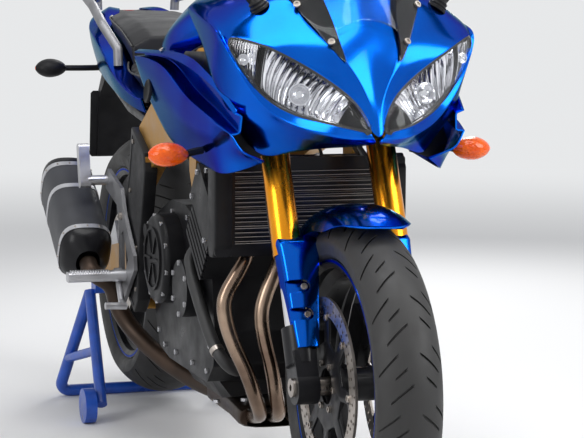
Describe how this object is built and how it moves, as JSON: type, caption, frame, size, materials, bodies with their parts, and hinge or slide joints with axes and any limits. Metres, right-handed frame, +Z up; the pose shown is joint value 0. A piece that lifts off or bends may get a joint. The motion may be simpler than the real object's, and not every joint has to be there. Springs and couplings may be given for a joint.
{
  "type": "half-faired standard motorcycle on a rear paddock stand",
  "caption": "Half-faired road motorcycle: disc-braked front wheel on a gold upside-down fork, alloy frame, inline engine, chain drive; parked on its paddock stand.",
  "frame": {"origin": "on the floor under the middle of the whole machine", "axes": "+Z up, front wheel towards -Y, rider's left at +X"},
  "size_m": [0.7706, 2.1392, 1.205],
  "materials": {
    "blue_paint": "metallic deep blue paint under clear coat",
    "black_paint": "satin black paint",
    "gold_anodised": "gold anodised aluminium",
    "gold_frame": "gold-tan painted casting",
    "chrome": "hard chrome",
    "steel": "brushed steel",
    "header_steel": "heat-tinted stainless steel",
    "alloy": "cast and anodised aluminium",
    "dark_alloy": "black-painted engine castings",
    "silencer": "matt grey steel",
    "tyre": "black tyre rubber",
    "rubber": "black rubber",
    "seat": "black seat covering",
    "black_plastic": "black moulded plastic",
    "clear": "clear polycarbonate",
    "reflector": "metallised lamp reflector",
    "amber": "amber lamp lens",
    "red_lens": "red lamp lens",
    "stand_blue": "blue powder coat",
    "plate": "bare white plate"
  },
  "bodies": {
    "chassis": {"main_frame": "gold_frame", "swingarm": "gold_frame", "rear_axle_and_pivot": "steel", "rear_caliper": "alloy", "rear_subframe": "black_paint", "rear_shock": "black_paint", "engine": "dark_alloy", "engine_covers": "dark_alloy", "drive_chain": "steel", "radiator": "black_paint", "coolant_hose": "rubber", "exhaust_headers": "header_steel", "muffler": "silencer", "fuel_tank": "blue_paint", "rider_seat": "seat", "pillion_seat": "seat", "tail_cowl": "blue_paint", "tail_lamp": "red_lens", "rear_mudguard": "black_plastic", "number_plate": "plate", "grab_rails": "alloy", "nose_cowl": "blue_paint", "headlamp_lenses": "clear", "headlamp_units": "reflector", "windscreen": "clear", "side_cowls": "blue_paint", "cowl_stay": "black_paint", "instruments": "black_plastic", "mirrors": "black_plastic", "turn_signals": "amber", "footrest_hangers": "alloy", "footrests_and_pedals": "alloy", "paddock_stand": "stand_blue"},
    "fork": {"fork_outer_tubes": "gold_anodised", "fork_inner_tubes": "chrome", "fork_feet": "black_paint", "front_axle": "steel", "front_calipers": "black_paint", "triple_clamps": "black_paint", "handlebar": "black_paint", "grips_and_switches": "rubber", "levers": "alloy", "front_mudguard": "blue_paint", "front_brake_hoses": "rubber"},
    "front_wheel": {"front_rim": "black_paint", "front_tyre": "tyre", "front_brake_discs": "steel"},
    "rear_wheel": {"rear_rim": "black_paint", "rear_tyre": "tyre", "rear_brake_disc": "steel", "rear_sprocket": "steel"},
    "side_stand": {"side_stand": "black_paint"},
    "fuel_cap": {"fuel_cap": "alloy"}
  },
  "joints": [
    {"name": "steering", "type": "hinge", "parent": "chassis", "child": "fork", "pos_m": [0, -0.47415, 0.8682], "axis": [0, 0.4226, 0.9063], "range_deg": [-31, 31]},
    {"name": "front_wheel_spin", "type": "hinge", "parent": "fork", "child": "front_wheel", "pos_m": [0, -0.77, 0.3], "axis": [1, 0, 0], "continuous": true},
    {"name": "rear_wheel_spin", "type": "hinge", "parent": "chassis", "child": "rear_wheel", "pos_m": [0, 0.69, 0.336], "axis": [1, 0, 0], "continuous": true},
    {"name": "side_stand_fold", "type": "hinge", "parent": "chassis", "child": "side_stand", "pos_m": [0.168, 0.11, 0.262], "axis": [-0.9296, 0.0042, -0.3687], "range_deg": [0, 92.7]},
    {"name": "fuel_cap_lid", "type": "hinge", "parent": "chassis", "child": "fuel_cap", "pos_m": [0, -0.24, 1.0303], "axis": [1, 0, 0], "range_deg": [0, 95]}
  ]
}
